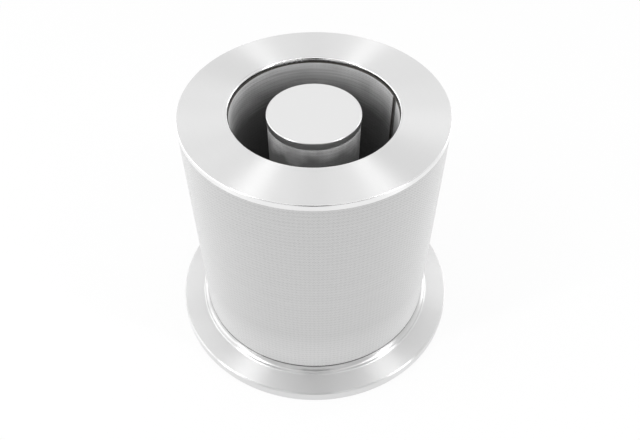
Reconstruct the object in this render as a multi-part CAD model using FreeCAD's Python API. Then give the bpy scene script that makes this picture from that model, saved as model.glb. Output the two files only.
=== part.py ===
import FreeCAD, Part
import math
import os
import random

# Sintered filter element: two coaxial walls of sintered mesh under one turned end ring,
# a closed mesh post in the open well between them, and a turned base flange.
# Millimetres. Origin at the centre of the flange's underside, +Z up the axis.
# Azimuths are measured from the front (-Y) towards the right (+X).

# Overall sizes
overall_height = 137.5
body_diameter = 130.0
mesh_thickness = 1.7
seat_clearance = 0.1

# Top ring
ring_thickness = 3.0
ring_edge_chamfer = 0.3
ring_spigot_depth = 3.0
spigot_thickness = 2.0

# Inner wall and the weld round its top end
well_diameter = 81.4
well_wall_drop = 2.85
bead_drop = 1.7
lip_setback = 0.2
bead_roundness = 0.75
bead_flats = 3
lip_depth = 0.35
undercut_depth = 0.7
undercut_rise = 0.15
lip_bites = 16
lip_bite_radius = 1.6
lip_bite_depth = 0.3
lip_notch_azimuths = (-124.0, 128.0)

# Lengthwise welds
seam_width = 2.6
seam_crown = 0.25
seam_root_sink = 0.35
seam_dressed_margin = 1.0
outer_seam_azimuth = 180.0
inner_seam_azimuth = 106.0
post_seam_azimuth = 180.0

# Post in the middle of the well
post_diameter = 45.4
cap_diameter = 46.0
cap_drop = 2.8
cap_thickness = 3.7
cap_edge_chamfer = 0.3
cap_plug_depth = 3.0

# Base flange
flange_diameter = 160.5
flange_thickness = 6.8
flange_top_chamfer = 0.7
flange_bottom_chamfer = 0.4
foot_diameter = 136.0
flare_edge_diameter = 134.2
flare_radius = 3.5
flare_flats = 3
neck_diameter = 129.6
neck_top = 11.2
neck_spigot_height = 3.0

# Floor that closes the well
floor_lift = 3.0
floor_thickness = 3.0

# Radii and heights that follow from the sizes above
body_radius = body_diameter / 2
spigot_outer = body_radius - mesh_thickness - seat_clearance
spigot_inner = spigot_outer - spigot_thickness
ring_underside = overall_height - ring_thickness
well_radius = well_diameter / 2
well_wall_outer = well_radius + mesh_thickness
ring_bore = well_wall_outer + seat_clearance
well_wall_top = overall_height - well_wall_drop
floor_top = floor_lift + floor_thickness
post_radius = post_diameter / 2
post_bore = post_radius - mesh_thickness
cap_radius = cap_diameter / 2
cap_top = overall_height - cap_drop
cap_underside = cap_top - cap_thickness
flange_radius = flange_diameter / 2
neck_radius = neck_diameter / 2


def line(start, end):
    """Straight edge between two points given as (radius, height)."""
    return Part.LineSegment(at(start), at(end)).toShape()


def at(point):
    """A (radius, height) pair as a point in the XZ plane."""
    radius, height = point
    return FreeCAD.Vector(radius, 0, height)


def turned(edges):
    """Solid turned about the Z axis from a closed profile of edges."""
    face = Part.Face(Part.Wire(edges))
    return face.revolve(FreeCAD.Vector(0, 0, 0), FreeCAD.Vector(0, 0, 1), 360)


def turned_from_points(points):
    """Turned solid whose profile has only straight sides."""
    ends = points[1:] + points[:1]
    return turned([line(start, end) for start, end in zip(points, ends)])


def tube(inner, outer, bottom, top):
    """Plain round tube, standing on the Z axis."""
    base = FreeCAD.Vector(0, 0, bottom)
    height = top - bottom
    return Part.makeCylinder(outer, height, base).cut(Part.makeCylinder(inner, height, base))


def facing(shape, azimuth):
    """The shape, made facing the front, turned to its azimuth."""
    shape.rotate(FreeCAD.Vector(0, 0, 0), FreeCAD.Vector(0, 0, 1), azimuth)
    return shape


def butt_gap(radius, bottom, top, azimuth):
    """Block with parallel sides that opens a rolled sheet at its seam."""
    size = (seam_width, radius, top - bottom)
    corner = FreeCAD.Vector(-seam_width / 2, -radius - mesh_thickness, bottom)
    return facing(Part.makeBox(*size, corner), azimuth)


def rolled_wall(outer, bottom, top, azimuth):
    """Mesh sheet rolled to a tube, with its butt open for the lengthwise weld."""
    sheet = tube(outer - mesh_thickness, outer, bottom, top)
    return sheet.cut(butt_gap(outer, bottom, top, azimuth))


def seam_weld(outer, bottom, top, azimuth, dressed=()):
    """Bead that fills a butt: sunk a little at the root, crowned outside, dressed flush in its seats."""
    half = seam_width / 2
    outer_edge = -math.sqrt(outer ** 2 - half ** 2)
    inner = outer - mesh_thickness
    inner_edge = -math.sqrt(inner ** 2 - half ** 2)
    crown = FreeCAD.Vector(0, -outer - seam_crown, bottom)
    root = FreeCAD.Vector(0, -inner - seam_root_sink, bottom)
    corners = [FreeCAD.Vector(x, y, bottom)
               for x, y in ((-half, outer_edge), (half, outer_edge), (half, inner_edge), (-half, inner_edge))]
    edges = [Part.Arc(corners[0], crown, corners[1]).toShape(),
             Part.LineSegment(corners[1], corners[2]).toShape(),
             Part.Arc(corners[2], root, corners[3]).toShape(),
             Part.LineSegment(corners[3], corners[0]).toShape()]
    bead = Part.Face(Part.Wire(edges)).extrude(FreeCAD.Vector(0, 0, top - bottom))
    for low, high in dressed:
        bead = bead.cut(tube(outer, outer + 2 * seam_crown, low, high))
    return facing(bead, azimuth)


def top_ring():
    """Flat end ring with a chamfered rim and a spigot that centres the outer wall."""
    spigot_bottom = ring_underside - ring_spigot_depth
    return turned_from_points([
        (ring_bore, ring_underside),
        (ring_bore, overall_height),
        (body_radius - ring_edge_chamfer, overall_height),
        (body_radius, overall_height - ring_edge_chamfer),
        (body_radius, ring_underside),
        (spigot_outer, ring_underside),
        (spigot_outer, spigot_bottom),
        (spigot_inner, spigot_bottom),
        (spigot_inner, ring_underside)])


def bore_weld():
    """Bead from the ring's bore down over the inner wall's end, with a ragged lip over an undercut root."""
    lip_radius = well_radius + lip_setback
    lip_top = overall_height - bead_drop
    lip_bottom = lip_top - lip_depth
    undercut_radius = lip_radius + undercut_depth
    crown = []
    for step in range(bead_flats + 1):
        turn = math.pi / 2 * step / bead_flats
        crown.append((ring_bore - (ring_bore - lip_radius) * math.sin(turn) ** bead_roundness,
                      lip_top + bead_drop * math.cos(turn) ** bead_roundness))
    bead = turned_from_points(crown + [
        (lip_radius, lip_bottom),
        (undercut_radius, lip_bottom + undercut_rise),
        (well_radius, well_wall_top),
        (ring_bore, well_wall_top)])
    lip = tube(lip_radius - undercut_depth, undercut_radius, lip_bottom, lip_top)
    bites = Part.makeCompound(bites_in_lip(lip_radius, lip_bottom))
    return bead.cut(bites.common(lip))


def bites_in_lip(lip_radius, lip_bottom):
    """Short radial cylinders that leave the lip's lower edge ragged, with a deeper notch here and there."""
    uneven = random.Random(5)
    step = 360.0 / lip_bites
    bites = []
    for number in range(lip_bites):
        azimuth = (number + uneven.uniform(-0.3, 0.3)) * step
        depth = lip_bite_depth * uneven.uniform(0.3, 1.0)
        bites.append(bite(lip_radius, lip_bite_radius, lip_bottom + depth, azimuth))
    for azimuth in lip_notch_azimuths:
        bites.append(bite(lip_radius, lip_depth, lip_bottom + lip_depth, azimuth))
    return bites


def bite(lip_radius, bite_radius, top, azimuth):
    """Radial cylinder across the lip, reaching up to a height."""
    start = FreeCAD.Vector(0, -lip_radius + undercut_depth, top - bite_radius)
    length = 2 * undercut_depth
    return facing(Part.makeCylinder(bite_radius, length, start, FreeCAD.Vector(0, -1, 0)), azimuth)


def post_cap():
    """Turned disc with a plug that fits the post's bore."""
    plug_radius = post_bore - seat_clearance
    plug_bottom = cap_underside - cap_plug_depth
    return turned_from_points([
        (0, plug_bottom),
        (plug_radius, plug_bottom),
        (plug_radius, cap_underside),
        (cap_radius, cap_underside),
        (cap_radius, cap_top - cap_edge_chamfer),
        (cap_radius - cap_edge_chamfer, cap_top),
        (0, cap_top)])


def well_floor():
    """Flat ring that closes the bottom of the well, inside the inner wall and round the post."""
    return tube(post_radius + seat_clearance, well_radius - seat_clearance, floor_lift, floor_top)


def base_flange():
    """Flange with a low step, a hollow flare up to the neck, and a spigot that centres the outer wall."""
    foot_radius = foot_diameter / 2
    spigot_top = neck_top + neck_spigot_height
    return turned_from_points(hollow_flare() + [
        (spigot_outer, neck_top),
        (spigot_outer, spigot_top),
        (spigot_inner, spigot_top),
        (spigot_inner, 0),
        (flange_radius - flange_bottom_chamfer, 0),
        (flange_radius, flange_bottom_chamfer),
        (flange_radius, flange_thickness - flange_top_chamfer),
        (flange_radius - flange_top_chamfer, flange_thickness),
        (foot_radius, flange_thickness)])


def hollow_flare():
    """Quarter round hollow from the step's sharp edge up to the neck, in flats."""
    centre = neck_radius + flare_radius
    lowest = math.asin((centre - flare_edge_diameter / 2) / flare_radius)
    hollow = []
    for step in range(flare_flats + 1):
        turn = lowest + (math.pi / 2 - lowest) * step / flare_flats
        hollow.append((centre - flare_radius * math.sin(turn), neck_top - flare_radius * math.cos(turn)))
    return hollow


ring_seat = (ring_underside - seam_dressed_margin, well_wall_top)
floor_seat = (floor_lift, floor_top + seam_dressed_margin)

pieces = {
    "top_ring": top_ring(),
    "outer_wall": rolled_wall(body_radius, neck_top, ring_underside, outer_seam_azimuth),
    "outer_wall_seam": seam_weld(body_radius, neck_top, ring_underside, outer_seam_azimuth),
    "inner_wall": rolled_wall(well_wall_outer, floor_lift, well_wall_top, inner_seam_azimuth),
    "inner_wall_seam": seam_weld(well_wall_outer, floor_lift, well_wall_top, inner_seam_azimuth, [ring_seat]),
    "bore_weld": bore_weld(),
    "post_wall": rolled_wall(post_radius, floor_lift, cap_underside, post_seam_azimuth),
    "post_wall_seam": seam_weld(post_radius, floor_lift, cap_underside, post_seam_azimuth, [floor_seat]),
    "post_cap": post_cap(),
    "well_floor": well_floor(),
    "base_flange": base_flange(),
}

os.makedirs("parts", exist_ok=True)
for name, shape in pieces.items():
    solids = shape.Solids
    print(name, len(solids), "solid", "valid" if shape.isValid() else "INVALID", round(shape.Volume, 1))
    solid = solids[0] if len(solids) == 1 else Part.makeCompound(solids)
    solid.exportStep("parts/" + name + ".step")
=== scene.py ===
import math

import bmesh
import bpy
from mathutils import Matrix, Vector, noise


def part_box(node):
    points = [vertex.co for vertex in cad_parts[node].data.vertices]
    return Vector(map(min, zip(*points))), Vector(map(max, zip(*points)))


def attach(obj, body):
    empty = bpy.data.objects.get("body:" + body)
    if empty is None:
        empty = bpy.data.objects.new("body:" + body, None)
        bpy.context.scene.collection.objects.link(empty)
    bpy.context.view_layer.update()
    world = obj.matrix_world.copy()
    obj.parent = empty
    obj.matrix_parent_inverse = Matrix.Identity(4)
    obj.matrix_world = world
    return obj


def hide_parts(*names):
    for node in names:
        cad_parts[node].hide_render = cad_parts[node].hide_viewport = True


# Welded filter element: two coaxial walls of sintered wire mesh under one turned end ring,
# a capped mesh post in the open well, and a turned base flange.
# Metres, +Z up the axis. Azimuths run from the front (-Y) towards the right (+X).

mm = 0.001
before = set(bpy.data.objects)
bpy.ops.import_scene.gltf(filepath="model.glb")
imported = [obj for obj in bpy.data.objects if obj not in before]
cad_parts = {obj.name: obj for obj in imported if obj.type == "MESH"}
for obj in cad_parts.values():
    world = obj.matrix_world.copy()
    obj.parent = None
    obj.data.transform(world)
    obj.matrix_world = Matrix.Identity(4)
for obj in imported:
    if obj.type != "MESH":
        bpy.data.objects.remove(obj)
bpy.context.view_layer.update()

# Sizes read from the frame
overall_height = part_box("top_ring")[1].z
body_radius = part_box("top_ring")[1].x
ring_spigot_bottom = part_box("top_ring")[0].z
cap_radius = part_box("post_cap")[1].x
cap_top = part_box("post_cap")[1].z
cap_plug_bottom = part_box("post_cap")[0].z
post_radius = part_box("post_wall")[1].x
post_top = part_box("post_wall")[1].z
well_wall_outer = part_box("inner_wall")[1].x
well_wall_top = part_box("inner_wall")[1].z
well_wall_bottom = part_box("inner_wall")[0].z
floor_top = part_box("well_floor")[1].z
outer_wall_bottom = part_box("outer_wall")[0].z
outer_wall_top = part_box("outer_wall")[1].z
flange_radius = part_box("base_flange")[1].x
flange_spigot_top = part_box("base_flange")[1].z

# Sizes that the frame's boxes don't give
mesh_thickness = 1.7 * mm
seat_clearance = 0.1 * mm
spigot_thickness = 2.0 * mm
ring_edge_chamfer = 0.3 * mm
ring_chamfer_margin = 0.05 * mm
weld_prep = 0.4 * mm
cap_edge_chamfer = 0.3 * mm
flange_thickness = 6.8 * mm
flange_top_chamfer = 0.7 * mm
flange_bottom_chamfer = 0.4 * mm
foot_radius = 68.0 * mm
flare_edge_radius = 67.1 * mm
flare_radius = 3.5 * mm
neck_radius = 64.8 * mm
foot_fillet = 0.5 * mm

# Broken edges: size, largest share of a side, and where each one's two holding points lie, in its size
broken_edge = 0.06 * mm
broken_edge_limit = 0.4
broken_edge_hold = 1.2

# Sizes that follow
spigot_outer = body_radius - mesh_thickness - seat_clearance
spigot_inner = spigot_outer - spigot_thickness
well_radius = well_wall_outer - mesh_thickness
ring_bore = well_wall_outer + seat_clearance
post_bore = post_radius - mesh_thickness

# Lengthwise welds: their ripples trail back at the edges, and a crown is dressed flush where it meets a seat
seam_width = 2.6 * mm
seam_crown = 0.25 * mm
seam_root_sink = 0.35 * mm
seam_dressed_margin = 1.0 * mm
seam_ripple_pitch = 1.1 * mm
seam_ripple_trail = 0.45 * seam_ripple_pitch
seam_ripple_share = 0.12
outer_seam_azimuth = math.radians(180.0)
inner_seam_azimuth = math.radians(106.0)
post_seam_azimuth = math.radians(180.0)

# Each rolled wall's outer radius, bottom, top and the azimuth of its weld
outer_roll = (body_radius, outer_wall_bottom, outer_wall_top, outer_seam_azimuth)
inner_roll = (well_wall_outer, well_wall_bottom, well_wall_top, inner_seam_azimuth)
post_roll = (post_radius, well_wall_bottom, post_top, post_seam_azimuth)

# Heat stain beside the inner wall's weld: off the weld's middle to one side, with a short fade at its edge
heat_shift = 0.8 * mm
heat_reach = 2.0 * mm
heat_fade = 0.4 * mm
heat_brightness = 0.3

# Painted shadow at the top of the hollow flare, close under the outer wall, where the mesh meets the neck
joint_shade_start = outer_wall_bottom - 1.2 * mm
joint_shade_full = outer_wall_bottom - 0.9 * mm

# Bead round the bore
bead_drop = 1.7 * mm
bead_roundness = 0.72
bead_ripples = 260
bead_ripple_depth = 0.015 * mm
bead_ripple_lean = 2.0 / mm
bead_swell = 0.05 * mm
bead_swell_scale = 9.0
lip_radius = well_radius + 0.2 * mm
lip_depth = 0.35 * mm
lip_top = overall_height - bead_drop
lip_bottom = lip_top - lip_depth
undercut_radius = lip_radius + 0.7 * mm

# Oxide and painted shadow at the bead's root under the lip: the heights where they start and are full, and
# the roughness without and with the oxide
root_oxide_and_shade_start = lip_bottom + 0.35 * mm
root_oxide_and_shade_full = lip_bottom - 0.1 * mm
bright_roughness = 0.14
oxide_roughness = 0.64

# Ragged edge of the bead's lip
lip_wander = 0.16 * mm
lip_wander_scale = 6.0
lip_bite_rise = 0.32 * mm
lip_bite_scale = 26.0
notch_rise = 0.4 * mm
notch_reach = 0.35 * mm
drip_fall = 0.5 * mm
drip_reach = 0.55 * mm
lip_notches = [math.radians(azimuth) for azimuth in (-124.0, 128.0)]
lip_drips = [math.radians(azimuth) for azimuth in (-171.0, -168.0, -164.0, -159.5)]

# Mesh wires: the coarse support layer shows through as a faint grid. The fine wires are drawn at 1.4 mm,
# which is coarser than they are, because the real ones are too fine to show.
support_pitch = 2.117 * mm
support_depth = 0.012 * mm
support_column_share = 0.5
wire_pitch = 1.4 * mm
wire_depth = 0.025 * mm
# How dark the pores of the weave are painted: painted shade
pore_shade_strength = 3.4
mesh_grain = 0.9 * mm
mesh_grain_share = 0.12
mesh_band_height = 5.0 * mm
mesh_band_share = 0.04
mesh_level = 0.9

# Brush strokes below the top welds, long round the wall and thin up it, which break up the edge of the
# painted light there
brush_length = 27.0 * mm
brush_pitch = 0.9 * mm

# Turned faces: tool marks, and how rough, uneven and drawn out along the marks they leave the shine
tool_mark_pitch = 0.35 * mm
tool_mark_depth = 0.004 * mm
turned_roughness = 0.416
turned_spread = 0.1
turned_streak = 0.978
quarter_turn = 0.25

# Ground cap and the skin of the welds
grit_pitch = 0.4 * mm
grit_depth = 0.004 * mm
weld_skin_grain = 1.5 * mm
weld_skin_depth = 0.02 * mm
oxide_patch = 2.0 * mm

# Fineness of the meshes, and the sharpest bend that is still shaded smooth
turned_steps = 288
broken_edge_steps = 4
hollow_steps = 12
crown_steps = 12
bead_steps = 900
wall_steps_up = 9
seam_steps_across = 13
seam_steps_a_ripple = 6
smooth_bend = math.radians(42.0)
on_axis = 1e-9

# How far up a face has to look, as the Z of its normal, to count as flat or as the bead's faced-off top
flat_enough = 0.98
faced_top = 0.88

# Values between which most of a noise lies
noise_low = 0.3
noise_high = 0.7

# A colour Mix node's sockets: its two inputs and its output
first, second, mixed = 6, 7, 2

# Camera: 38 mm lens, in front of the element and above it, looking down at 50 degrees
image_width = 640
image_height = 440
axis_pixel = (314.8, 260.2)
camera_place = Vector((0.0, -259.8, 336.6)) * mm
camera_pitch = math.radians(50.2)
camera_roll = math.radians(0.34)
camera_lens = 37.99
camera_sensor = 36.0

# Dark screen behind the camera
screen_distance = 0.33
screen_width = 0.14
screen_bottom = 0.17
screen_top = 0.85

# Brightness of the white room: as metal mirrors it in front and behind, and as plain light on the element
room_front = 0.3
room_back = 1.34
room_plain = 0.67

# White paper that sweeps up all round: its brightness as metal mirrors it, and the sines of the elevations
# where it ends and where it is at its full brightness
room_sweep = 0.65
sweep_top = 0.66
sweep_full = 0.54

# Studio floor, and the share of it that is plain white to the eye; the rest keeps the shadow
floor_size = 6.0
floor_gap = 0.02 * mm
floor_white = 0.85


def colour(hex_code):
    """Linear RGBA of an sRGB hex colour."""
    channels = [int(hex_code[i:i + 2], 16) / 255 for i in (1, 3, 5)]
    return [c / 12.92 if c <= 0.04045 else ((c + 0.055) / 1.055) ** 2.4 for c in channels] + [1.0]


def add(tree, kind, inputs=None, **settings):
    """Adds a node with its settings, and with values or links for its inputs.

    A node given for an input stands for its first output.
    """
    node = tree.nodes.new(kind)
    for name, value in settings.items():
        setattr(node, name, value)
    for key, value in (inputs or {}).items():
        if isinstance(value, bpy.types.Node):
            value = value.outputs[0]
        if isinstance(value, bpy.types.NodeSocket):
            tree.links.new(value, node.inputs[key])
        else:
            node.inputs[key].default_value = value
    return node


def new_material(name):
    """Empty node material, ready for a shader."""
    material = bpy.data.materials.new(name)
    material.use_nodes = True
    material.node_tree.nodes.clear()
    return material, material.node_tree


def turned_steel(name, hex_code):
    """Turned 316L stainless: rings of tool marks, which draw each light out into a fan across the face."""
    material, tree = new_material(name)
    place = add(tree, "ShaderNodeTexCoord").outputs["Object"]
    flat = add(tree, "ShaderNodeVectorMath", {0: place, 1: (1.0, 1.0, 0.0)}, operation="MULTIPLY")
    radius = add(tree, "ShaderNodeVectorMath", {0: flat}, operation="LENGTH").outputs["Value"]
    height = add(tree, "ShaderNodeSeparateXYZ", {0: place}).outputs["Z"]
    across = add(tree, "ShaderNodeMath", {0: radius, 1: height}, operation="ADD")
    marks = add(tree, "ShaderNodeTexNoise", {"W": across, "Scale": 1.0 / tool_mark_pitch, "Detail": 3.0},
                noise_dimensions="1D")
    bump = add(tree, "ShaderNodeBump", {"Height": marks, "Distance": tool_mark_depth, "Strength": 1.0})
    uneven = add(tree, "ShaderNodeMapRange", {
        "Value": marks, "From Min": noise_low, "From Max": noise_high,
        "To Min": turned_roughness * (1 - turned_spread), "To Max": turned_roughness * (1 + turned_spread)})
    tangent = add(tree, "ShaderNodeTangent", direction_type="RADIAL", axis="Z")
    shader = add(tree, "ShaderNodeBsdfPrincipled", {
        "Base Color": colour(hex_code), "Metallic": 1.0, "Roughness": uneven, "Normal": bump,
        "Anisotropic": turned_streak, "Anisotropic Rotation": quarter_turn, "Tangent": tangent})
    add(tree, "ShaderNodeOutputMaterial", {"Surface": shader})
    return material


def cut_steel(name, hex_code, roughness, streak, heat_stain_and_joint_shade=None):
    """Rims and edges left by the finishing cut, with the same fans of light.

    A painted shadow may darken one edge: it is given as its colour and the heights where it starts and is
    full.
    """
    material, tree = new_material(name)
    metal = colour(hex_code)
    if heat_stain_and_joint_shade:
        joint_shade_colour, start, full = heat_stain_and_joint_shade
        place = add(tree, "ShaderNodeTexCoord").outputs["Object"]
        height = add(tree, "ShaderNodeSeparateXYZ", {0: place}).outputs["Z"]
        share = add(tree, "ShaderNodeMapRange", {"Value": height, "From Min": start, "From Max": full})
        metal = add(tree, "ShaderNodeMix", {0: share, first: metal, second: colour(joint_shade_colour)},
                    data_type="RGBA").outputs[mixed]
    tangent = add(tree, "ShaderNodeTangent", direction_type="RADIAL", axis="Z")
    shader = add(tree, "ShaderNodeBsdfPrincipled", {
        "Base Color": metal, "Metallic": 1.0, "Roughness": roughness,
        "Anisotropic": streak, "Anisotropic Rotation": quarter_turn, "Tangent": tangent})
    add(tree, "ShaderNodeOutputMaterial", {"Surface": shader})
    return material


def ground_steel():
    """Fine ground stainless: an even satin with no direction, so the cap reads as one pale grey."""
    material, tree = new_material("ground_stainless_steel")
    place = add(tree, "ShaderNodeTexCoord").outputs["Object"]
    grit = add(tree, "ShaderNodeTexNoise", {"Vector": place, "Scale": 1.0 / grit_pitch, "Detail": 4.0})
    bump = add(tree, "ShaderNodeBump", {"Height": grit, "Distance": grit_depth, "Strength": 1.0})
    shader = add(tree, "ShaderNodeBsdfPrincipled", {
        "Base Color": colour("#d4d4d4"), "Metallic": 1.0, "Roughness": 0.38, "Normal": bump})
    add(tree, "ShaderNodeOutputMaterial", {"Surface": shader})
    return material


def bore_weld_steel():
    """Bright weld metal: it froze smooth, so it mirrors the lights; its root under the lip has oxide and
    painted shadow.
    """
    material, tree = new_material("bright_weld_metal")
    place = add(tree, "ShaderNodeTexCoord").outputs["Object"]
    height = add(tree, "ShaderNodeSeparateXYZ", {0: place}).outputs["Z"]
    root = add(tree, "ShaderNodeMapRange", {"Value": height, "From Min": root_oxide_and_shade_start, "From Max": root_oxide_and_shade_full})
    # The root under the lip is painted dark: a painted shadow, with the oxide's roughness
    tint = add(tree, "ShaderNodeMix", {0: root, first: colour("#eeeeee"), second: colour("#5a5754")},
               data_type="RGBA").outputs[mixed]
    dullness = add(tree, "ShaderNodeMapRange", {
        "Value": root, "To Min": bright_roughness, "To Max": oxide_roughness})
    skin = add(tree, "ShaderNodeTexNoise", {"Vector": place, "Scale": 1.0 / weld_skin_grain, "Detail": 3.0})
    bump = add(tree, "ShaderNodeBump", {"Height": skin, "Distance": weld_skin_depth, "Strength": 1.0})
    shader = add(tree, "ShaderNodeBsdfPrincipled", {
        "Base Color": tint, "Metallic": 1.0, "Roughness": dullness, "Normal": bump})
    add(tree, "ShaderNodeOutputMaterial", {"Surface": shader})
    return material


def seam_weld_steel():
    """Lengthwise welds: unpolished, so they keep a thin brown-grey oxide and a satin shine."""
    material, tree = new_material("oxidised_weld_metal")
    place = add(tree, "ShaderNodeTexCoord").outputs["Object"]
    patches = add(tree, "ShaderNodeTexNoise", {"Vector": place, "Scale": 1.0 / oxide_patch, "Detail": 3.0})
    tint = add(tree, "ShaderNodeMix", {0: patches, first: colour("#b4b2af"), second: colour("#9c9894")},
               data_type="RGBA").outputs[mixed]
    shader = add(tree, "ShaderNodeBsdfPrincipled", {
        "Base Color": tint, "Metallic": 1.0, "Roughness": 0.4})
    add(tree, "ShaderNodeOutputMaterial", {"Surface": shader})
    return material


def sintered_mesh(name, hex_code, roughness, radius, painted_lit_top=None, painted_bounce_light=None, heat_azimuth=None,
                  sheen=0.0):
    """Sintered wire cloth: thousands of fused knuckles give a pale matt, with painted shade in the pores
    between them.

    Seen at a grazing angle the knuckles hide the pores and catch the light, as cloth does: that is the sheen.
    """
    material, tree = new_material(name)
    place = add(tree, "ShaderNodeTexCoord").outputs["Object"]
    parts = add(tree, "ShaderNodeSeparateXYZ", {0: place}).outputs
    azimuth = add(tree, "ShaderNodeMath", {0: parts["X"], 1: parts["Y"]}, operation="ARCTAN2")
    relief = weave(tree, azimuth, parts["Z"], radius)
    bump = add(tree, "ShaderNodeBump", {"Height": relief, "Distance": 1.0, "Strength": 1.0})
    metal = colour(hex_code)
    # Painted light at the top of a wall in the well, fading to painted shade further down
    if painted_lit_top:
        metal = lit_top_colour(tree, place, hex_code, **painted_lit_top)
    if heat_azimuth:
        metal = heated(tree, place, metal, heat_azimuth)
    # Painted light: the wall is painted lighter towards its foot, for the light that the floor and flange
    # bounce up onto it
    if painted_bounce_light:
        bright, bottom, top = painted_bounce_light
        bounce_share = add(tree, "ShaderNodeMapRange", {"Value": parts["Z"], "From Min": top, "From Max": bottom})
        metal = add(tree, "ShaderNodeMix", {0: bounce_share, first: metal, second: colour(bright)},
                    data_type="RGBA").outputs[mixed]
    light = grain_and_pore_shade(tree, place, parts["Z"], relief)
    metal = add(tree, "ShaderNodeMix", {0: light, first: colour("#000000"), second: metal},
                data_type="RGBA").outputs[mixed]
    shader = add(tree, "ShaderNodeBsdfPrincipled", {
        "Base Color": metal, "Metallic": 1.0, "Roughness": roughness, "Normal": bump,
        "Sheen Weight": sheen, "Sheen Roughness": 0.3})
    add(tree, "ShaderNodeOutputMaterial", {"Surface": shader})
    return material


def weave(tree, azimuth, height, radius):
    """Relief of the wire cloth: rows and columns of the support layer, with the fine wires over them."""
    waves = []
    for pitch in (support_pitch, wire_pitch):
        wires_round = float(round(2 * math.pi * radius / pitch))
        for place, turns in ((azimuth, wires_round), (height, 2 * math.pi / pitch)):
            phase = add(tree, "ShaderNodeMath", {0: place, 1: turns}, operation="MULTIPLY")
            waves.append(add(tree, "ShaderNodeMath", {0: phase}, operation="SINE"))
    columns, rows, fine_columns, fine_rows = waves
    relief = add(tree, "ShaderNodeMath", {0: rows, 1: support_depth}, operation="MULTIPLY")
    relief = add(tree, "ShaderNodeMath", {0: columns, 1: support_depth * support_column_share, 2: relief},
                 operation="MULTIPLY_ADD")
    knuckles = add(tree, "ShaderNodeMath", {0: fine_columns, 1: fine_rows}, operation="MULTIPLY")
    return add(tree, "ShaderNodeMath", {0: knuckles, 1: wire_depth, 2: relief}, operation="MULTIPLY_ADD")


def grain_and_pore_shade(tree, place, height, relief):
    """Share of its brightness that a mesh keeps: a fine grain, faint bands up the wall, and painted shade in
    its pores.
    """
    grain = add(tree, "ShaderNodeTexNoise", {"Vector": place, "Scale": 1.0 / mesh_grain, "Detail": 2.0})
    bands = add(tree, "ShaderNodeTexNoise", {"W": height, "Scale": 1.0 / mesh_band_height, "Detail": 2.0},
                noise_dimensions="1D")
    share = add(tree, "ShaderNodeMath", {0: grain, 1: mesh_grain_share, 2: mesh_level},
                operation="MULTIPLY_ADD")
    share = add(tree, "ShaderNodeMath", {0: bands, 1: mesh_band_share, 2: share},
                operation="MULTIPLY_ADD")
    return add(tree, "ShaderNodeMath", {0: relief, 1: pore_shade_strength / mm, 2: share},
               operation="MULTIPLY_ADD")


def heated(tree, place, metal, azimuth):
    """A mesh wall's colour, darkened by heat beside its lengthwise weld, and further on one side of it."""
    outward = (math.sin(azimuth), -math.cos(azimuth), 0.0)
    across = (math.cos(azimuth), math.sin(azimuth), 0.0)
    side = add(tree, "ShaderNodeVectorMath", {0: place, 1: outward}, operation="DOT_PRODUCT").outputs["Value"]
    away = add(tree, "ShaderNodeVectorMath", {0: place, 1: across}, operation="DOT_PRODUCT").outputs["Value"]
    away = add(tree, "ShaderNodeMath", {0: away, 1: heat_shift}, operation="ADD")
    away = add(tree, "ShaderNodeMath", {0: away}, operation="ABSOLUTE")
    heat_stain_and_joint_shade = add(tree, "ShaderNodeMapRange", {
        "Value": away, "From Min": heat_reach + heat_fade, "From Max": heat_reach})
    weld_side = add(tree, "ShaderNodeMath", {0: side, 1: 0.0}, operation="GREATER_THAN")
    share = add(tree, "ShaderNodeMath", {0: heat_stain_and_joint_shade, 1: weld_side}, operation="MULTIPLY")
    stained = add(tree, "ShaderNodeMix", {0: heat_brightness, first: colour("#000000"), second: metal},
                  data_type="RGBA").outputs[mixed]
    return add(tree, "ShaderNodeMix", {0: share, first: metal, second: stained},
               data_type="RGBA").outputs[mixed]


def stretched_noise(tree, place, across, up, detail):
    """Noise round zero, with grains of a length across the wall and a height up it."""
    grains = add(tree, "ShaderNodeVectorMath", {0: place, 1: (1.0 / across, 1.0 / across, 1.0 / up)},
                 operation="MULTIPLY")
    spread = add(tree, "ShaderNodeTexNoise", {"Vector": grains, "Scale": 1.0, "Detail": detail})
    return add(tree, "ShaderNodeMath", {0: spread, 1: 0.5}, operation="SUBTRACT")


def lit_top_colour(tree, place, shaded_hex, bright, top, reach, patch_width, patch_rise, stroke_rise):
    """Colour of a mesh wall with painted light below its top weld, fading unevenly to painted shade further
    down.
    """
    height = add(tree, "ShaderNodeSeparateXYZ", {0: place}).outputs["Z"]
    patches = stretched_noise(tree, place, patch_width, patch_width, 1.0)
    strokes = stretched_noise(tree, place, brush_length, brush_pitch, 3.0)
    moved = add(tree, "ShaderNodeMath", {0: patches, 1: patch_rise, 2: height}, operation="MULTIPLY_ADD")
    moved = add(tree, "ShaderNodeMath", {0: strokes, 1: stroke_rise, 2: moved}, operation="MULTIPLY_ADD")
    share = add(tree, "ShaderNodeMapRange", {"Value": moved, "From Min": top - reach, "From Max": top})
    return add(tree, "ShaderNodeMix", {0: share, first: colour(shaded_hex), second: colour(bright)},
               data_type="RGBA").outputs[mixed]


def with_broken_edges(outline):
    """The outline's corners rounded by a small arc, each held by a point just before and after it."""
    points = []
    for i, corner in enumerate(outline):
        here = Vector(corner[:2])
        if here.x < on_axis:
            points.append(here)
            continue
        reach = corner[2] if len(corner) > 2 else broken_edge
        before = Vector(outline[i - 1][:2]) - here
        after = Vector(outline[(i + 1) % len(outline)][:2]) - here
        cut = min(reach, broken_edge_limit * before.length, broken_edge_limit * after.length)
        start = here + before.normalized() * cut
        end = here + after.normalized() * cut
        points.append(here + before.normalized() * cut * broken_edge_hold)
        for step in range(broken_edge_steps + 1):
            share = step / broken_edge_steps
            points.append(start * (1 - share) ** 2 + here * 2 * share * (1 - share) + end * share ** 2)
        points.append(here + after.normalized() * cut * broken_edge_hold)
    return points


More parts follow.
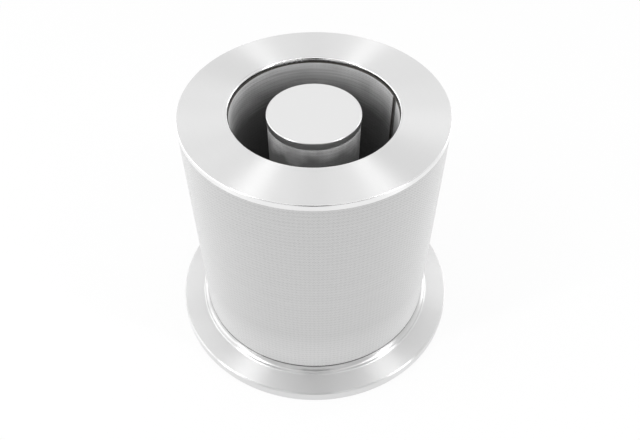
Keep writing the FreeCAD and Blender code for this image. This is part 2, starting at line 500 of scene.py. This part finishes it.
def turned_mesh(name, points):
    """Closed mesh turned about the Z axis from a closed outline of (radius, height)."""
    build = bmesh.new()
    turns = [2 * math.pi * step / turned_steps for step in range(turned_steps)]
    rings = []
    for point in points:
        if point.x < on_axis:
            rings.append([build.verts.new((0, 0, point.y))] * turned_steps)
        else:
            rings.append([build.verts.new((point.x * math.cos(turn), point.x * math.sin(turn), point.y))
                          for turn in turns])
    for i, ring in enumerate(rings):
        other = rings[(i + 1) % len(rings)]
        for step in range(turned_steps):
            after = (step + 1) % turned_steps
            corners = [ring[step], ring[after], other[after], other[step]]
            unique = [corner for k, corner in enumerate(corners) if corner not in corners[:k]]
            if len(unique) > 2:
                build.faces.new(unique)
    return built_piece(name, build)


def built_piece(name, build):
    """Piece from a closed bmesh, with its faces turned outwards."""
    bmesh.ops.recalc_face_normals(build, faces=build.faces)
    mesh = bpy.data.meshes.new(name)
    build.to_mesh(mesh)
    build.free()
    return as_piece(name, mesh)


def as_piece(name, mesh):
    """Object at the origin for a mesh, shaded smooth across all but its sharp edges."""
    for face in mesh.polygons:
        face.use_smooth = True
    mesh.set_sharp_from_angle(angle=smooth_bend)
    piece = bpy.data.objects.new(name, mesh)
    bpy.context.scene.collection.objects.link(piece)
    return piece


def dress(piece, materials, node):
    """Gives a finished piece its materials, hangs it from the root body and hides the node it stands for.

    Of two materials the first is for the flat faces and the second for all others.
    """
    piece.data.materials.clear()
    for material in materials:
        piece.data.materials.append(material)
    for face in piece.data.polygons:
        face.material_index = len(materials) - 1 if abs(face.normal.z) < flat_enough else 0
    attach(piece, "root")
    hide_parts(node)


def dress_band(piece, material, inner, outer, bottom, top):
    """Gives the faces between two radii and two heights a finish of their own."""
    piece.data.materials.append(material)
    for face in piece.data.polygons:
        if inner < face.center.xy.length < outer and bottom < face.center.z < top:
            face.material_index = len(piece.data.materials) - 1


def face_off(piece, material, lowest):
    """Gives the almost level faces above a height the finish of the cut that faced them off."""
    piece.data.materials.append(material)
    for face in piece.data.polygons:
        if face.normal.z > faced_top and face.center.z > lowest:
            face.material_index = len(piece.data.materials) - 1


def ring_outline():
    """End ring: flat face, fine rim chamfer, weld preparation at the bore, spigot inside the outer wall."""
    return [
        (ring_bore, outer_wall_top),
        (ring_bore, overall_height - weld_prep),
        (ring_bore + weld_prep, overall_height),
        (body_radius - ring_edge_chamfer, overall_height),
        (body_radius, overall_height - ring_edge_chamfer),
        (body_radius, outer_wall_top),
        (spigot_outer, outer_wall_top),
        (spigot_outer, ring_spigot_bottom),
        (spigot_inner, ring_spigot_bottom),
        (spigot_inner, outer_wall_top)]


def cap_outline():
    """Post cap: disc with a fine chamfer, and a plug in the post's bore."""
    plug_radius = post_bore - seat_clearance
    return [
        (0, cap_plug_bottom),
        (plug_radius, cap_plug_bottom),
        (plug_radius, post_top),
        (cap_radius, post_top),
        (cap_radius, cap_top - cap_edge_chamfer),
        (cap_radius - cap_edge_chamfer, cap_top),
        (0, cap_top)]


def flange_outline():
    """Base flange: flat face, step with a hollow flare up to the neck, spigot inside the outer wall."""
    return hollow_flare() + [
        (spigot_outer, outer_wall_bottom),
        (spigot_outer, flange_spigot_top),
        (spigot_inner, flange_spigot_top),
        (spigot_inner, 0),
        (flange_radius - flange_bottom_chamfer, 0),
        (flange_radius, flange_bottom_chamfer),
        (flange_radius, flange_thickness - flange_top_chamfer),
        (flange_radius - flange_top_chamfer, flange_thickness),
        (foot_radius, flange_thickness, foot_fillet)]


def hollow_flare():
    """Arc from the step's sharp edge up to the neck."""
    centre = neck_radius + flare_radius
    lowest = math.asin((centre - flare_edge_radius) / flare_radius)
    hollow = []
    for step in range(hollow_steps + 1):
        turn = lowest + (math.pi / 2 - lowest) * step / hollow_steps
        radius = centre - flare_radius * math.sin(turn)
        height = outer_wall_bottom - flare_radius * math.cos(turn)
        hollow.append((radius, height))
    return hollow


def bead_section():
    """Points across the bore bead: radius, height, share of the lip's raggedness, share of the ripples."""
    start_radius = ring_bore + weld_prep
    points = []
    for step in range(crown_steps + 1):
        turn = math.pi / 2 * step / crown_steps
        radius = start_radius - (start_radius - lip_radius) * math.sin(turn) ** bead_roundness
        height = lip_top + bead_drop * math.cos(turn) ** bead_roundness
        points.append((radius, height, (step / crown_steps) ** 3, math.sin(turn * 2) ** 2))
    return points + [
        (lip_radius, lip_bottom + 0.12 * mm, 1.0, 0.3),
        (lip_radius + 0.06 * mm, lip_bottom + 0.03 * mm, 1.0, 0.0),
        (lip_radius + 0.15 * mm, lip_bottom, 1.0, 0.0),
        (undercut_radius - 0.15 * mm, lip_bottom + 0.1 * mm, 0.6, 0.0),
        (undercut_radius, lip_bottom, 0.4, 0.0),
        (undercut_radius - 0.1 * mm, lip_bottom - 0.25 * mm, 0.0, 0.0),
        (well_radius + 0.35 * mm, well_wall_top + 0.25 * mm, 0.0, 0.0),
        (well_radius + 0.02 * mm, well_wall_top, 0.0, 0.0),
        (ring_bore, well_wall_top, 0.0, 0.0),
        (ring_bore, overall_height - weld_prep, 0.0, 0.0)]


def ragged(azimuth):
    """How far the lip's edge rises at an azimuth: slow waves, short bites, two notches and a few drips."""
    place = Vector((math.sin(azimuth), -math.cos(azimuth), 0.0))
    rise = lip_wander * noise.noise(place * lip_wander_scale)
    rise += lip_bite_rise * max(0.0, noise.noise(place * lip_bite_scale + Vector((3.0, 0.0, 1.0))))
    for notch in lip_notches:
        rise += notch_rise * nearness(azimuth, notch, notch_reach)
    for drip in lip_drips:
        rise -= drip_fall * nearness(azimuth, drip, drip_reach)
    return rise


def nearness(azimuth, centre, reach):
    """One at an azimuth on the lip, fading to nothing a few reaches away."""
    away = (azimuth - centre + math.pi) % (2 * math.pi) - math.pi
    return math.exp(-(away * lip_radius / reach) ** 2)


def bore_bead():
    """Closed bead round the bore, laid in ripples, with a ragged lip over its undercut."""
    build = bmesh.new()
    section = bead_section()
    rings = []
    for step in range(bead_steps):
        azimuth = 2 * math.pi * step / bead_steps
        x = math.sin(azimuth)
        y = -math.cos(azimuth)
        rise = ragged(azimuth)
        swell = bead_swell * noise.noise(Vector((x, -y, 5.0)) * bead_swell_scale)
        ring = []
        for radius, height, follows, ripples in section:
            ripple = bead_ripple_depth * math.sin(azimuth * bead_ripples + height * bead_ripple_lean)
            reach = radius - ripples * (ripple + swell)
            ring.append(build.verts.new((reach * x, reach * y, height + follows * rise)))
        rings.append(ring)
    for step, here in enumerate(rings):
        after = rings[(step + 1) % bead_steps]
        for i in range(len(section)):
            j = (i + 1) % len(section)
            build.faces.new([here[i], after[i], after[j], here[j]])
    return built_piece("bore_bead", build)


def node_group(name, sizes, counts):
    """Geometry node tree with named inputs for its sizes, its counts and its material."""
    tree = bpy.data.node_groups.new(name, "GeometryNodeTree")
    inputs = [("Geometry", "NodeSocketGeometry")]
    inputs += [(label, "NodeSocketFloat") for label in sizes]
    inputs += [(label, "NodeSocketInt") for label in counts]
    inputs += [("Material", "NodeSocketMaterial")]
    for label, kind in inputs:
        tree.interface.new_socket(label, in_out="INPUT", socket_type=kind)
    tree.interface.new_socket("Geometry", in_out="OUTPUT", socket_type="NodeSocketGeometry")
    return tree, add(tree, "NodeGroupInput").outputs


def grown(name, tree, values):
    """Piece made a plain mesh from a geometry node tree with these inputs."""
    seed = bpy.data.objects.new(name, bpy.data.meshes.new(name))
    bpy.context.scene.collection.objects.link(seed)
    modifier = seed.modifiers.new(name, "NODES")
    modifier.node_group = tree
    sockets = {item.name: item.identifier for item in tree.interface.items_tree if item.in_out == "INPUT"}
    for label, value in values.items():
        modifier[sockets[label]] = value
    bpy.context.view_layer.update()
    graph = bpy.context.evaluated_depsgraph_get()
    mesh = bpy.data.meshes.new_from_object(seed.evaluated_get(graph))
    bpy.data.objects.remove(seed)
    mesh.name = name
    return as_piece(name, mesh)


def flat_block(tree, across, through, up):
    """Flat block of grid faces, one unit each way, with its own coordinates from -0.5 to 0.5."""
    block = add(tree, "GeometryNodeMeshCube", {
        "Size": (1.0, 1.0, 1.0), "Vertices X": across, "Vertices Y": through, "Vertices Z": up})
    flat = add(tree, "ShaderNodeSeparateXYZ", {0: add(tree, "GeometryNodeInputPosition")}).outputs
    return block, flat


def roll_up(tree, block, azimuth, radius, height, material):
    """Carries a flat block round the Z axis and ends the tree with real geometry in its material."""
    right = add(tree, "ShaderNodeMath", {0: azimuth}, operation="SINE")
    front = add(tree, "ShaderNodeMath", {0: azimuth}, operation="COSINE")
    x = add(tree, "ShaderNodeMath", {0: right, 1: radius}, operation="MULTIPLY")
    forward = add(tree, "ShaderNodeMath", {0: front, 1: radius}, operation="MULTIPLY")
    y = add(tree, "ShaderNodeMath", {0: forward, 1: -1.0}, operation="MULTIPLY")
    place = add(tree, "ShaderNodeCombineXYZ", {"X": x, "Y": y, "Z": height})
    rolled = add(tree, "GeometryNodeSetPosition", {"Geometry": block, "Position": place})
    real = add(tree, "GeometryNodeRealizeInstances", {"Geometry": rolled})
    dressed = add(tree, "GeometryNodeSetMaterial", {"Geometry": real, "Material": material})
    add(tree, "NodeGroupOutput", {"Geometry": dressed})
    return tree


def rolled_sheet_tree():
    """A flat block of sheet, rolled about the Z axis so that its two butts face each other across a gap."""
    tree, given = node_group(
        "rolled_sheet", ("Outer Radius", "Thickness", "Bottom", "Top", "Gap Azimuth", "Gap Angle"),
        ("Steps Round", "Steps Up"))
    block, flat = flat_block(tree, given["Steps Round"], 2, given["Steps Up"])
    swept = add(tree, "ShaderNodeMath", {0: 2 * math.pi, 1: given["Gap Angle"]}, operation="SUBTRACT")
    opposite = add(tree, "ShaderNodeMath", {0: given["Gap Azimuth"], 1: math.pi}, operation="ADD")
    turned = add(tree, "ShaderNodeMath", {0: flat["X"], 1: swept}, operation="MULTIPLY")
    azimuth = add(tree, "ShaderNodeMath", {0: opposite, 1: turned}, operation="SUBTRACT")
    share = add(tree, "ShaderNodeMath", {0: 0.5, 1: flat["Y"]}, operation="SUBTRACT")
    depth = add(tree, "ShaderNodeMath", {0: share, 1: given["Thickness"]}, operation="MULTIPLY")
    radius = add(tree, "ShaderNodeMath", {0: given["Outer Radius"], 1: depth}, operation="SUBTRACT")
    height = add(tree, "ShaderNodeMapRange", {
        "Value": flat["Z"], "From Min": -0.5, "From Max": 0.5,
        "To Min": given["Bottom"], "To Max": given["Top"]})
    return roll_up(tree, block, azimuth, radius, height, given["Material"])


def seam_bead_tree():
    """Weld bead that fills a butt: crowned outside, sunk at its root, laid in ripples, flush at its seats."""
    tree, given = node_group(
        "seam_bead", ("Outer Radius", "Thickness", "Bottom", "Top", "Azimuth", "Angle",
                      "Crown", "Root Sink", "Crown From", "Crown To"), ("Steps Up",))
    block, flat = flat_block(tree, seam_steps_across, 2, given["Steps Up"])
    height = add(tree, "ShaderNodeMapRange", {
        "Value": flat["Z"], "From Min": -0.5, "From Max": 0.5,
        "To Min": given["Bottom"], "To Max": given["Top"]})
    relief, undressed = seam_relief(tree, flat["X"], height, given["Crown From"], given["Crown To"])
    crown = add(tree, "ShaderNodeMath", {0: relief, 1: given["Crown"]}, operation="MULTIPLY")
    outside = add(tree, "ShaderNodeMath", {0: crown, 1: undressed, 2: given["Outer Radius"]},
                  operation="MULTIPLY_ADD")
    bore = add(tree, "ShaderNodeMath", {0: given["Outer Radius"], 1: given["Thickness"]},
               operation="SUBTRACT")
    inside = add(tree, "ShaderNodeMath", {0: relief, 1: given["Root Sink"], 2: bore},
                 operation="MULTIPLY_ADD")
    radius = add(tree, "ShaderNodeMapRange", {
        "Value": flat["Y"], "From Min": -0.5, "From Max": 0.5, "To Min": inside, "To Max": outside})
    turned = add(tree, "ShaderNodeMath", {0: flat["X"], 1: given["Angle"]}, operation="MULTIPLY")
    azimuth = add(tree, "ShaderNodeMath", {0: given["Azimuth"], 1: turned}, operation="SUBTRACT")
    return roll_up(tree, block, azimuth, radius, height, given["Material"])


def seam_relief(tree, across, height, crown_from, crown_to):
    """Share of its full bulge that a seam has at a point, in trailing ripples, and where it isn't dressed."""
    side = add(tree, "ShaderNodeMath", {0: across, 1: 2.0}, operation="MULTIPLY")
    squared = add(tree, "ShaderNodeMath", {0: side, 1: side}, operation="MULTIPLY")
    bulge = add(tree, "ShaderNodeMath", {0: 1.0, 1: squared}, operation="SUBTRACT")
    trailed = add(tree, "ShaderNodeMath", {0: squared, 1: seam_ripple_trail, 2: height},
                  operation="MULTIPLY_ADD")
    phase = add(tree, "ShaderNodeMath", {0: trailed, 1: 2 * math.pi / seam_ripple_pitch},
                operation="MULTIPLY")
    wave = add(tree, "ShaderNodeMath", {0: phase}, operation="SINE")
    ripple = add(tree, "ShaderNodeMath", {0: wave, 1: seam_ripple_share, 2: 1.0 - seam_ripple_share},
                 operation="MULTIPLY_ADD")
    relief = add(tree, "ShaderNodeMath", {0: bulge, 1: ripple}, operation="MULTIPLY")
    above = add(tree, "ShaderNodeMath", {0: height, 1: crown_from}, operation="GREATER_THAN")
    below = add(tree, "ShaderNodeMath", {0: height, 1: crown_to}, operation="LESS_THAN")
    return relief, add(tree, "ShaderNodeMath", {0: above, 1: below}, operation="MULTIPLY")


def rolled_wall(name, tree, material, outer, bottom, top, azimuth):
    """One mesh wall, with its butt open by the width of its weld."""
    return grown(name, tree, {
        "Outer Radius": outer, "Thickness": mesh_thickness, "Bottom": bottom, "Top": top,
        "Gap Azimuth": azimuth, "Gap Angle": seam_width / outer, "Material": material,
        "Steps Round": turned_steps + 1, "Steps Up": wall_steps_up})


def seam_bead(name, tree, material, outer, bottom, top, azimuth, crown_from, crown_to):
    """One lengthwise weld, in steps fine enough for its ripples."""
    return grown(name, tree, {
        "Outer Radius": outer, "Thickness": mesh_thickness, "Bottom": bottom, "Top": top,
        "Azimuth": azimuth, "Angle": seam_width / outer, "Crown": seam_crown, "Root Sink": seam_root_sink,
        "Crown From": crown_from, "Crown To": crown_to, "Material": material,
        "Steps Up": round((top - bottom) / seam_ripple_pitch * seam_steps_a_ripple) + 1})


def studio_light(name, azimuth, elevation, distance, width, height, brightness):
    """Soft box that faces the end ring: angles in degrees, brightness as a share of full white."""
    azimuth = math.radians(azimuth)
    elevation = math.radians(elevation)
    target = Vector((0, 0, overall_height))
    out = math.cos(elevation) * distance
    up = math.sin(elevation) * distance
    lamp = bpy.data.lights.new(name, "AREA")
    lamp.shape = "RECTANGLE"
    lamp.size = width
    lamp.size_y = height
    lamp.energy = brightness * math.pi * width * height
    box = bpy.data.objects.new(name, lamp)
    box.location = target + Vector((out * math.sin(azimuth), -out * math.cos(azimuth), up))
    box.rotation_euler = (target - box.location).to_track_quat("-Z", "Y").to_euler()
    bpy.context.scene.collection.objects.link(box)


def dark_screen():
    """Upright dark screen behind the camera, which curved metal shows as a thin dark line at the front."""
    middle = (0, -screen_distance, (screen_bottom + screen_top) / 2)
    bpy.ops.mesh.primitive_plane_add(size=1.0, location=middle, rotation=(math.pi / 2, 0, 0))
    screen = bpy.context.object
    screen.name = "dark_screen"
    screen.scale = (screen_width, screen_top - screen_bottom, 1.0)
    material, tree = new_material("black_felt_screen")
    shader = add(tree, "ShaderNodeBsdfDiffuse", {"Color": colour("#101010")})
    add(tree, "ShaderNodeOutputMaterial", {"Surface": shader})
    screen.data.materials.append(material)
    screen.visible_camera = False
    screen.visible_diffuse = False
    screen.visible_shadow = False


def studio_world():
    """White room: white to the eye, plain light on the element, and darker in front as metal mirrors it."""
    world = bpy.data.worlds.new("white_room")
    bpy.context.scene.world = world
    world.use_nodes = True
    world.cycles.sampling_method = "NONE"
    tree = world.node_tree
    tree.nodes.clear()
    path = add(tree, "ShaderNodeLightPath").outputs
    toward = add(tree, "ShaderNodeTexCoord").outputs["Generated"]
    toward = add(tree, "ShaderNodeSeparateXYZ", {0: toward}).outputs
    depth = add(tree, "ShaderNodeMapRange", {
        "Value": toward["Y"], "From Min": -1.0, "From Max": 1.0, "To Min": room_front, "To Max": room_back})
    sweep = add(tree, "ShaderNodeMapRange", {
        "Value": toward["Z"], "From Min": sweep_top, "From Max": sweep_full,
        "To Min": 0.0, "To Max": room_sweep})
    level = add(tree, "ShaderNodeMath", {0: depth, 1: sweep}, operation="MAXIMUM")
    plain, mirrored, white = [
        add(tree, "ShaderNodeBackground", {"Color": colour("#ffffff"), "Strength": strength})
        for strength in (room_plain, level, 1.0)]
    lit = add(tree, "ShaderNodeMixShader", {0: path["Is Glossy Ray"], 1: plain, 2: mirrored})
    seen = add(tree, "ShaderNodeMath", {0: path["Is Camera Ray"], 1: path["Is Transmission Ray"]},
               operation="MAXIMUM")
    shown = add(tree, "ShaderNodeMixShader", {0: seen, 1: lit, 2: white})
    add(tree, "ShaderNodeOutputWorld", {"Surface": shown})


def studio_floor():
    """White floor that keeps a faint shadow of the element."""
    bpy.ops.mesh.primitive_plane_add(size=floor_size, location=(0, 0, -floor_gap))
    floor = bpy.context.object
    floor.name = "studio_floor"
    material, tree = new_material("white_paper_floor")
    material.cycles.emission_sampling = "NONE"
    path = add(tree, "ShaderNodeLightPath").outputs
    seen = path["Is Camera Ray"]
    for ray in ("Is Glossy Ray", "Is Transmission Ray"):
        seen = add(tree, "ShaderNodeMath", {0: seen, 1: path[ray]}, operation="MAXIMUM")
    share = add(tree, "ShaderNodeMath", {0: seen, 1: floor_white}, operation="MULTIPLY")
    paper = add(tree, "ShaderNodeBsdfDiffuse", {"Color": colour("#f4f4f4")})
    white = add(tree, "ShaderNodeEmission", {"Color": colour("#ffffff"), "Strength": 1.0})
    shader = add(tree, "ShaderNodeMixShader", {0: share, 1: paper, 2: white})
    add(tree, "ShaderNodeOutputMaterial", {"Surface": shader})
    floor.data.materials.append(material)


def studio_camera():
    """Camera at the height and pitch from which the element is shown."""
    lens = bpy.data.cameras.new("camera")
    lens.lens = camera_lens
    lens.sensor_width = camera_sensor
    lens.shift_x = (image_width / 2 - axis_pixel[0]) / image_width
    lens.shift_y = (axis_pixel[1] - image_height / 2) / image_width
    camera = bpy.data.objects.new("camera", lens)
    tilt = Matrix.Rotation(math.pi / 2 - camera_pitch, 4, "X") @ Matrix.Rotation(-camera_roll, 4, "Z")
    camera.matrix_world = Matrix.Translation(camera_place) @ tilt
    bpy.context.scene.collection.objects.link(camera)
    bpy.context.scene.camera = camera


# Materials
turned_face = turned_steel("turned_stainless_steel", "#dcdcdc")
flange_face = turned_steel("turned_stainless_flange", "#e5e5e5")
ring_rim = cut_steel("bright_cut_steel", "#f4f4f4", 0.3, 0.94)
ring_chamfer = cut_steel("deburred_edge", "#f0f0f0", 0.22, 0.9)
flange_rim = cut_steel("bright_cut_flange_rim", "#e2e2e2", 0.3, 0.94)
# The flare's top is painted dark under the outer wall: a painted shadow at the joint
cut_flare = cut_steel("painted_joint_shadow_steel", "#d6d6d6", 0.3, 0.85, ("#6c6c6c", joint_shade_start, joint_shade_full))
cap_side = cut_steel("bright_cut_cap_side", "#e2e2e2", 0.3, 0.5)
ground_face = ground_steel()
bore_weld = bore_weld_steel()
seam_weld = seam_weld_steel()
# The outer wall's lighter foot is painted light, bounced up from the floor and flange
outer_mesh = sintered_mesh("sintered_mesh_outer", "#dbdbdb", 0.8, body_radius,
                           painted_bounce_light=("#ececec", outer_wall_bottom, 40 * mm), sheen=1.0)
# Inside the well the mesh is painted darker than outside, as painted shade, and lighter below its top weld,
# as painted light
inner_mesh = sintered_mesh("sintered_mesh_inner", "#8c8c8c", 1.0, well_radius,
                           painted_lit_top={"bright": "#eeeeee", "top": well_wall_top, "reach": 22 * mm,
                                    "patch_width": 13 * mm, "patch_rise": 8 * mm, "stroke_rise": 9 * mm},
                           heat_azimuth=inner_seam_azimuth)
# The post too: painted shade down the well, and painted light at its top
post_mesh = sintered_mesh("sintered_mesh_post", "#b4b4b4", 0.8, post_radius,
                          painted_lit_top={"bright": "#ffffff", "top": post_top, "reach": 11 * mm,
                                   "patch_width": 9 * mm, "patch_rise": 16 * mm, "stroke_rise": 3 * mm})

# Turned pieces and the bead round the bore
ring = turned_mesh("end_ring", with_broken_edges(ring_outline()))
dress(ring, [turned_face, ring_rim], "top_ring")
dress_band(ring, ring_chamfer, body_radius - ring_edge_chamfer - broken_edge,
           body_radius - ring_chamfer_margin, overall_height - ring_edge_chamfer, overall_height)
cap = turned_mesh("cap_disc", with_broken_edges(cap_outline()))
dress(cap, [ground_face, cap_side], "post_cap")
flange = turned_mesh("flange_base", with_broken_edges(flange_outline()))
dress(flange, [flange_face, flange_rim], "base_flange")
dress_band(flange, cut_flare, neck_radius, foot_radius - foot_fillet, flange_thickness, outer_wall_bottom)
bead = bore_bead()
dress(bead, [bore_weld], "bore_weld")
face_off(bead, turned_face, overall_height - bead_drop / 2)

# Rolled walls of mesh
rolled = rolled_sheet_tree()
dress(rolled_wall("outer_mesh", rolled, outer_mesh, *outer_roll), [outer_mesh], "outer_wall")
dress(rolled_wall("inner_mesh", rolled, inner_mesh, *inner_roll), [inner_mesh], "inner_wall")
dress(rolled_wall("post_mesh", rolled, post_mesh, *post_roll), [post_mesh], "post_wall")

# Their lengthwise welds, each crowned between two heights
laid = seam_bead_tree()
outer_seam = seam_bead("outer_seam", laid, seam_weld, *outer_roll, outer_wall_bottom, outer_wall_top)
inner_seam = seam_bead("inner_seam", laid, seam_weld, *inner_roll, well_wall_bottom,
                       outer_wall_top - seam_dressed_margin)
post_seam = seam_bead("post_seam", laid, seam_weld, *post_roll, floor_top + seam_dressed_margin, post_top)
dress(outer_seam, [seam_weld], "outer_wall_seam")
dress(inner_seam, [seam_weld], "inner_wall_seam")
dress(post_seam, [seam_weld], "post_wall_seam")

# The well's floor keeps the frame's shape
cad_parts["well_floor"].data.materials.clear()
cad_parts["well_floor"].data.materials.append(turned_face)

# Studio: each soft box has its azimuth, elevation, distance, width, height and brightness
studio_world()
studio_floor()
studio_light("right_strip", 64, 45, 0.9, 0.06, 0.5, 10.9)
studio_light("left_strip", -61.5, 45, 0.9, 0.07, 0.5, 12.5)
studio_light("right_low_box", 61, 12, 0.9, 0.24, 0.36, 2.7)
studio_light("left_low_box", -64, 12, 0.9, 0.12, 0.36, 3.7)
studio_light("left_side_box", -90, 20, 1.0, 0.6, 0.5, 1.2)
studio_light("right_back_box", 125, 10, 1.0, 0.5, 0.4, 1.5)
studio_light("left_back_box", -125, 10, 1.0, 0.5, 0.4, 1.0)
studio_light("front_low_strip", 0, 18, 0.9, 0.9, 0.1, 1.1)
studio_light("front_top_strip", 0, 68, 0.9, 0.1, 0.3, 1.0)
studio_light("top_panel", 0, 90, 1.0, 1.0, 1.0, 0.66)
dark_screen()
studio_camera()
bpy.context.scene.view_settings.view_transform = "Standard"
